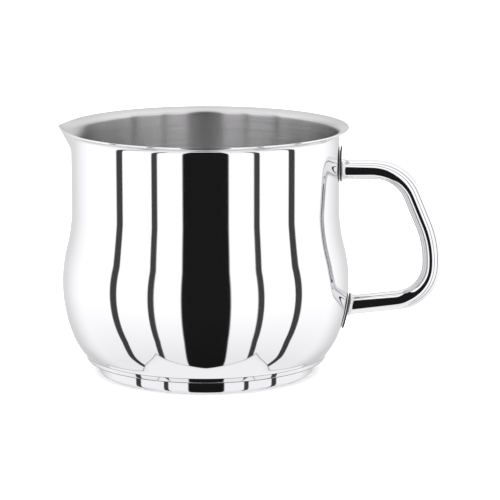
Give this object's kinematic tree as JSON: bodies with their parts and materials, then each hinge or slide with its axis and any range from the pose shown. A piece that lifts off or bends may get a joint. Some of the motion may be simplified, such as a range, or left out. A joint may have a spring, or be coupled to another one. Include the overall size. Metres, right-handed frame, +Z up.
{
  "type": "wax melting pot",
  "caption": "Bulbous stainless melting and pouring pot with flared lip, small pinched spout, disc base and welded round-tube loop handle.",
  "frame": {"origin": "centre of the flat underside of the base", "axes": "+Z up along the axis of the pot, +X towards the handle, -X towards the pouring spout"},
  "size_m": [0.1952, 0.1464, 0.1256],
  "materials": {
    "pot_steel": "drawn stainless sheet, mirror polished outside and satin brushed inside",
    "base_steel": "pressed stainless cap, mirror polished side and finely turned underside",
    "disc_aluminium": "plain mill finish, hidden between floor and cap",
    "handle_steel": "bent stainless tube, mirror polished",
    "plate_steel": "stamped stainless plate, polished with softened edges",
    "weld_steel": "smooth dressed stainless weld, polished"
  },
  "bodies": {
    "root": {"pot_body": "pot_steel", "base_cap": "base_steel", "heat_disc": "disc_aluminium", "handle_tube": "handle_steel", "upper_plate": "plate_steel", "lower_plate": "plate_steel", "upper_weld": "weld_steel", "lower_weld": "weld_steel"}
  },
  "joints": []
}
